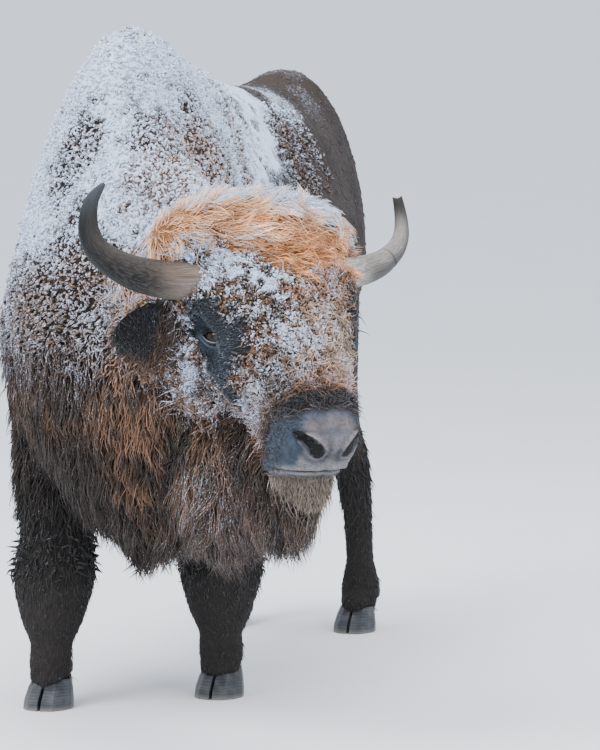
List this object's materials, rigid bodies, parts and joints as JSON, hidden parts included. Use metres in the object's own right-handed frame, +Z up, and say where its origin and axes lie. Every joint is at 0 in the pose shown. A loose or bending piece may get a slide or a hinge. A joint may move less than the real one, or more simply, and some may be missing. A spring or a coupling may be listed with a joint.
{
  "type": "european bison",
  "caption": "Standing bull bison with its head turned to its left, in a shaggy winter coat with a high hump, short curved horns and a beard; a still model with nothing that moves.",
  "frame": {"origin": "the middle of the floor under the bison, halfway along and across its bounding box", "axes": "+Z up; the body faces -Y, so +X is the animal's left; the head is turned 45 degrees to its left"},
  "size_m": [1.1612, 2.5494, 1.7231],
  "materials": {
    "coat": "woolly brown winter coat, dusted with snow",
    "coat_dark": "short near-black hair",
    "horn": "horn, worn satin, grey at the base and slate at the tip",
    "hoof": "dull black hoof horn",
    "eye": "wet, very dark brown eye",
    "nose": "moist grey bare skin"
  },
  "bodies": {
    "root": {"dewclaw_fore_left_inner": "hoof", "dewclaw_fore_left_outer": "hoof", "dewclaw_fore_right_inner": "hoof", "dewclaw_fore_right_outer": "hoof", "dewclaw_hind_left_inner": "hoof", "dewclaw_hind_left_outer": "hoof", "dewclaw_hind_right_inner": "hoof", "dewclaw_hind_right_outer": "hoof", "ear_left": "coat_dark", "ear_right": "coat_dark", "eye_left": "eye", "eye_right": "eye", "foreleg_lower_left": "coat_dark", "foreleg_lower_right": "coat_dark", "foreleg_upper_left": "coat_dark", "foreleg_upper_right": "coat_dark", "head": "coat", "hindleg_lower_left": "coat_dark", "hindleg_lower_right": "coat_dark", "hindleg_upper_left": "coat_dark", "hindleg_upper_right": "coat_dark", "hoof_fore_left_inner": "hoof", "hoof_fore_left_outer": "hoof", "hoof_fore_right_inner": "hoof", "hoof_fore_right_outer": "hoof", "hoof_hind_left_inner": "hoof", "hoof_hind_left_outer": "hoof", "hoof_hind_right_inner": "hoof", "hoof_hind_right_outer": "hoof", "horn_left": "horn", "horn_right": "horn", "neck": "coat", "nose_pad": "nose", "tail": "coat_dark", "tail_switch": "coat_dark", "trunk": "coat"}
  },
  "joints": []
}
